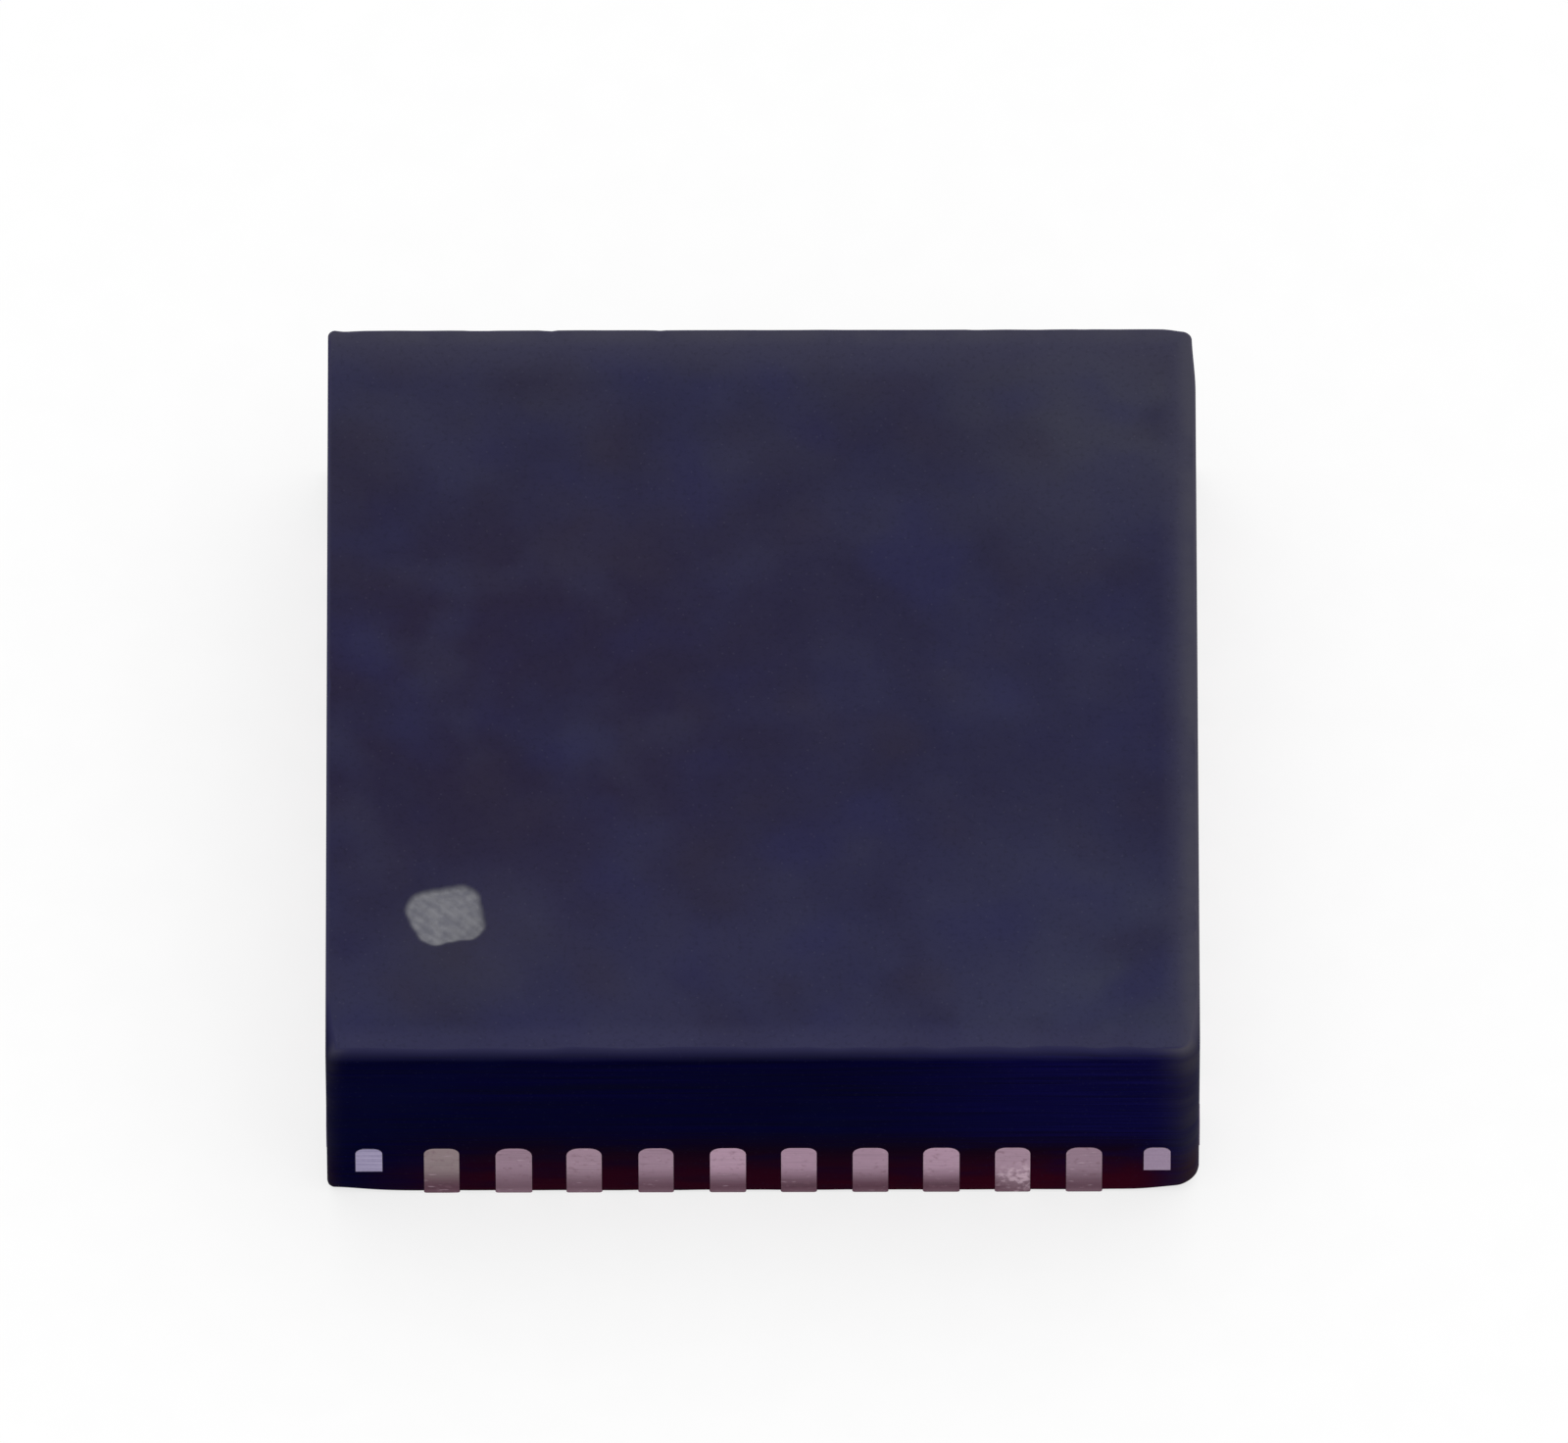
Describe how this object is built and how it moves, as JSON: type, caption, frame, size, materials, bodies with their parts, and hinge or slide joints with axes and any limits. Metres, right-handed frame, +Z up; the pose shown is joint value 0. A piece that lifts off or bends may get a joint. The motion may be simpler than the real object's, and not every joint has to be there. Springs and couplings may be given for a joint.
{
  "type": "qfn chip",
  "caption": "Square quad flat no-lead chip: a sawn block of dark moulding compound around a copper lead frame, die and bond wires, soldered to a board by its lead feet and pad.",
  "frame": {"origin": "middle of the underside, on the plane of the solder feet", "axes": "+Z up from the board, +X along the front side away from the first lead, +Y from the front side to the back"},
  "size_m": [0.005, 0.005, 0.0014],
  "materials": {
    "mould_compound": "matte, sawn sides",
    "lead_copper": "sawn, tin-plated foot",
    "pad_plating": "matte tin plating",
    "silver_glue": "matte",
    "silicon": "polished",
    "bond_wire": "drawn"
  },
  "bodies": {
    "root": {"mould_body": "mould_compound", "die_pad": "pad_plating", "die_attach": "silver_glue", "die": "silicon", "lead_01": "lead_copper", "lead_02": "lead_copper", "lead_03": "lead_copper", "lead_04": "lead_copper", "lead_05": "lead_copper", "lead_06": "lead_copper", "lead_07": "lead_copper", "lead_08": "lead_copper", "lead_09": "lead_copper", "lead_10": "lead_copper", "lead_11": "lead_copper", "lead_12": "lead_copper", "lead_13": "lead_copper", "lead_14": "lead_copper", "lead_15": "lead_copper", "lead_16": "lead_copper", "lead_17": "lead_copper", "lead_18": "lead_copper", "lead_19": "lead_copper", "lead_20": "lead_copper", "lead_21": "lead_copper", "lead_22": "lead_copper", "lead_23": "lead_copper", "lead_24": "lead_copper", "lead_25": "lead_copper", "lead_26": "lead_copper", "lead_27": "lead_copper", "lead_28": "lead_copper", "lead_29": "lead_copper", "lead_30": "lead_copper", "lead_31": "lead_copper", "lead_32": "lead_copper", "lead_33": "lead_copper", "lead_34": "lead_copper", "lead_35": "lead_copper", "lead_36": "lead_copper", "lead_37": "lead_copper", "lead_38": "lead_copper", "lead_39": "lead_copper", "lead_40": "lead_copper", "bond_wires_front": "bond_wire", "bond_wires_right": "bond_wire", "bond_wires_back": "bond_wire", "bond_wires_left": "bond_wire"}
  },
  "joints": []
}
